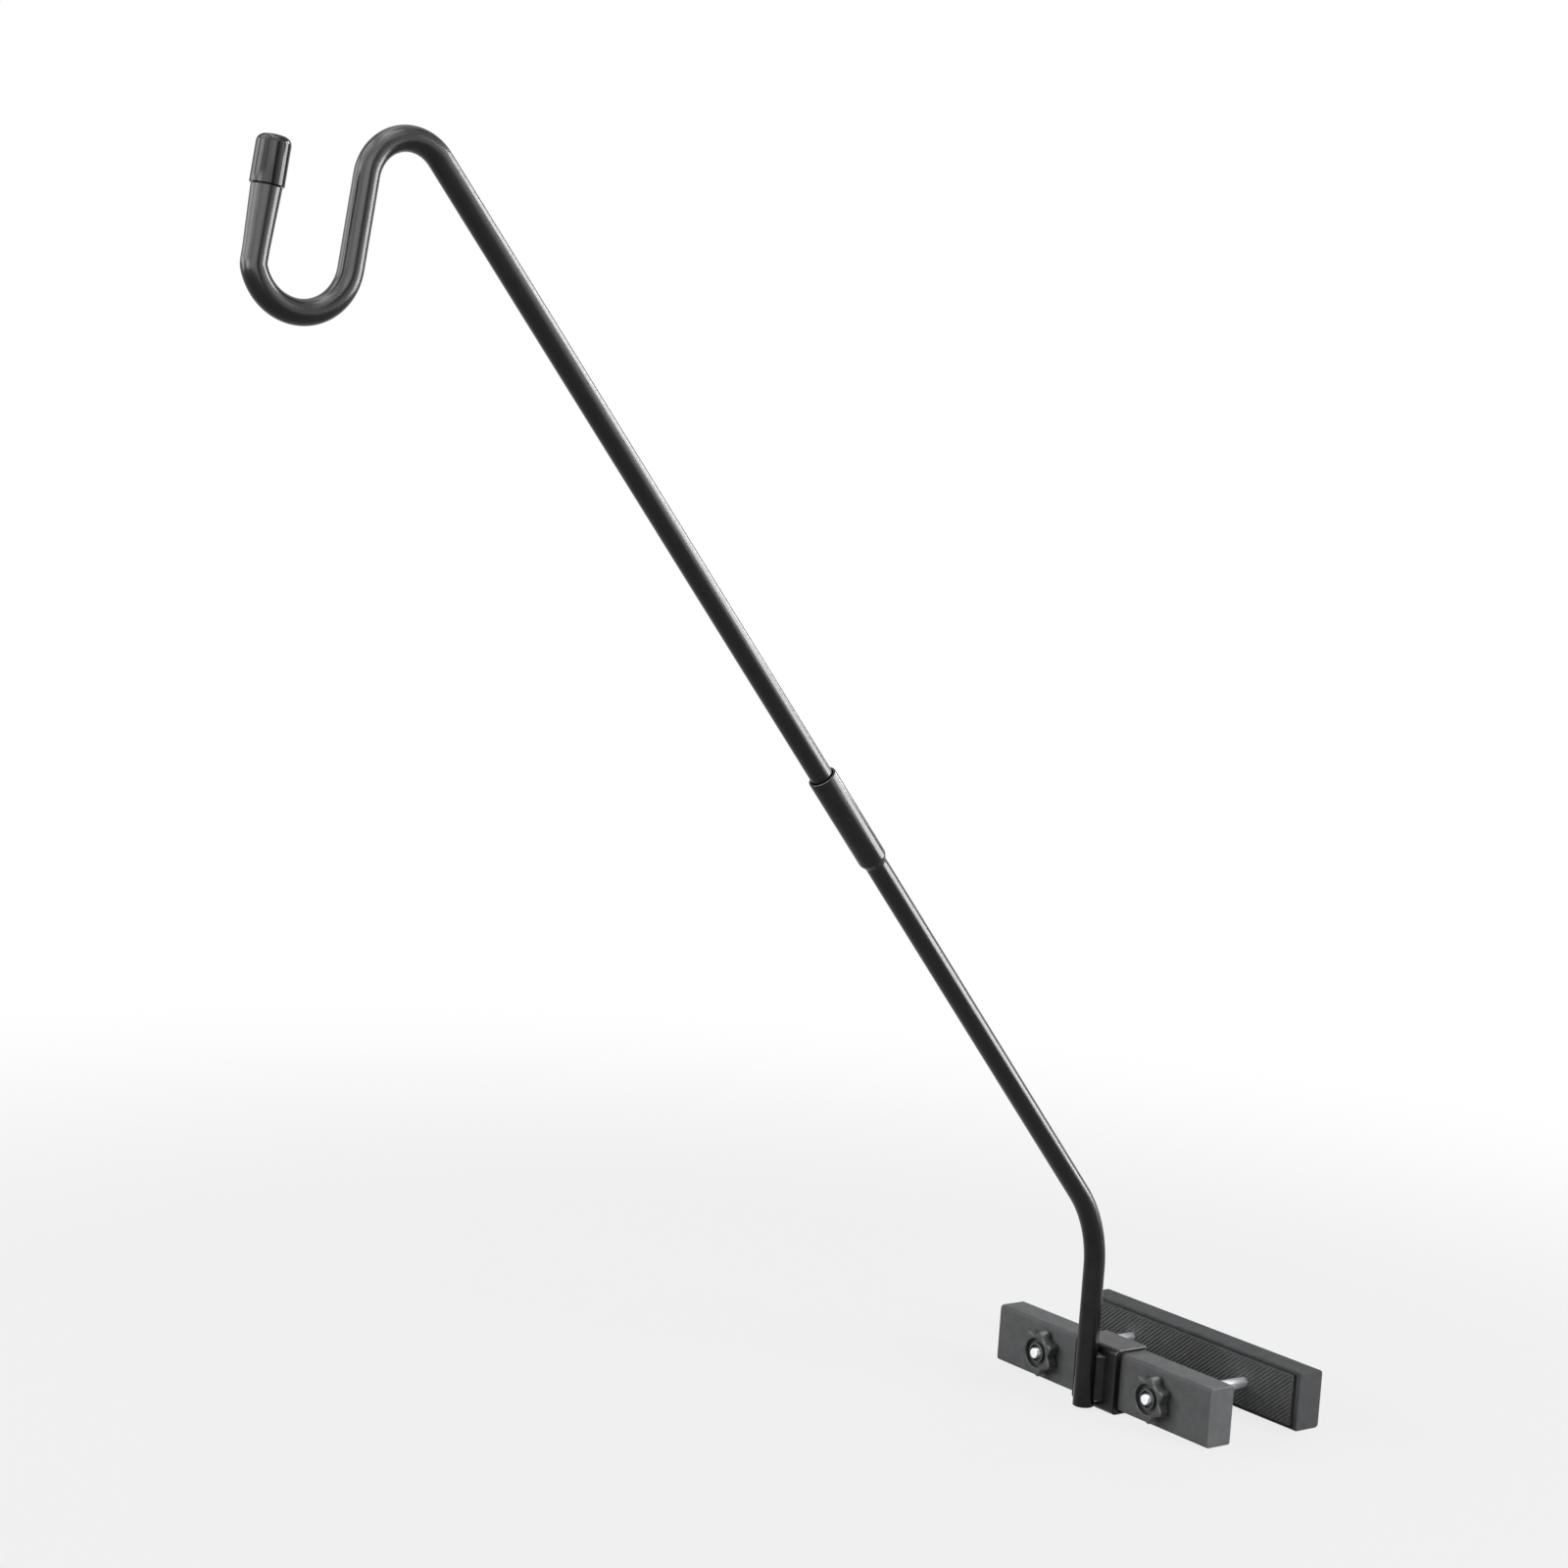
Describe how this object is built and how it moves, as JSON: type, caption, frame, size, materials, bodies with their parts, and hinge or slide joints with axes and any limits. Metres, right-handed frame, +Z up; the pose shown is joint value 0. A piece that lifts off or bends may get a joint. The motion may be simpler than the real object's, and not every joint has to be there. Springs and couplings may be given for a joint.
{
  "type": "clamp-on hanging hook",
  "caption": "Clamp-on hook for a fence or railing: two padded jaws on bolts with star knobs, a saddle, and a leaning tube pole in two parts that ends in an open upturned hook.",
  "frame": {"origin": "centre of the front pad's clamping face", "axes": "+X along the jaws, +Y from the front jaw to the rear jaw, +Z up, the hook reaching towards -Y"},
  "size_m": [0.175, 0.6471, 0.6542],
  "materials": {
    "pole_coat": "satin dark charcoal powder coat",
    "saddle_coat": "satin dark charcoal powder coat",
    "bar_shell": "matte charcoal moulded plastic",
    "pad": "matte dark grey rubber with fine slanted ribs",
    "knob": "satin charcoal moulded plastic",
    "cap": "glossy black",
    "zinc": "bright zinc plated",
    "insert": "blackened machined steel"
  },
  "bodies": {
    "front_jaw": {"front_bar": "bar_shell", "front_pad": "pad", "saddle": "saddle_coat", "lower_pole": "pole_coat", "left_saddle_screw": "zinc", "right_saddle_screw": "zinc", "left_weld_bead": "pole_coat", "right_weld_bead": "pole_coat", "left_washer": "zinc", "right_washer": "zinc"},
    "rear_jaw": {"rear_bar": "bar_shell", "rear_pad": "pad", "left_bolt": "zinc", "right_bolt": "zinc"},
    "left_knob": {"left_knob": "knob", "left_insert": "insert"},
    "right_knob": {"right_knob": "knob", "right_insert": "insert"},
    "hook": {"upper_pole": "pole_coat", "tip_cap": "cap"}
  },
  "joints": [
    {"name": "right_knob_turn", "type": "hinge", "parent": "front_jaw", "child": "right_knob", "pos_m": [0.04625, -0.0228, 0], "axis": [0, 1, 0], "range_deg": [0, 17244]},
    {"name": "left_knob_turn", "type": "hinge", "parent": "front_jaw", "child": "left_knob", "pos_m": [-0.04625, -0.0228, 0], "axis": [0, 1, 0], "range_deg": [0, 17244]},
    {"name": "rear_jaw_slide", "type": "slide", "parent": "front_jaw", "child": "rear_jaw", "axis": [0, -1, 0], "range_m": [0, 0.0479]},
    {"name": "hook_swivel", "type": "hinge", "parent": "front_jaw", "child": "hook", "pos_m": [0, -0.24477, 0.34078], "axis": [0, -0.6481, 0.7615], "continuous": true}
  ],
  "couplings": [
    {"joint": "right_knob_turn", "follows": "rear_jaw_slide", "rad_per_m": 6283.2},
    {"joint": "left_knob_turn", "follows": "rear_jaw_slide", "rad_per_m": 6283.2}
  ]
}
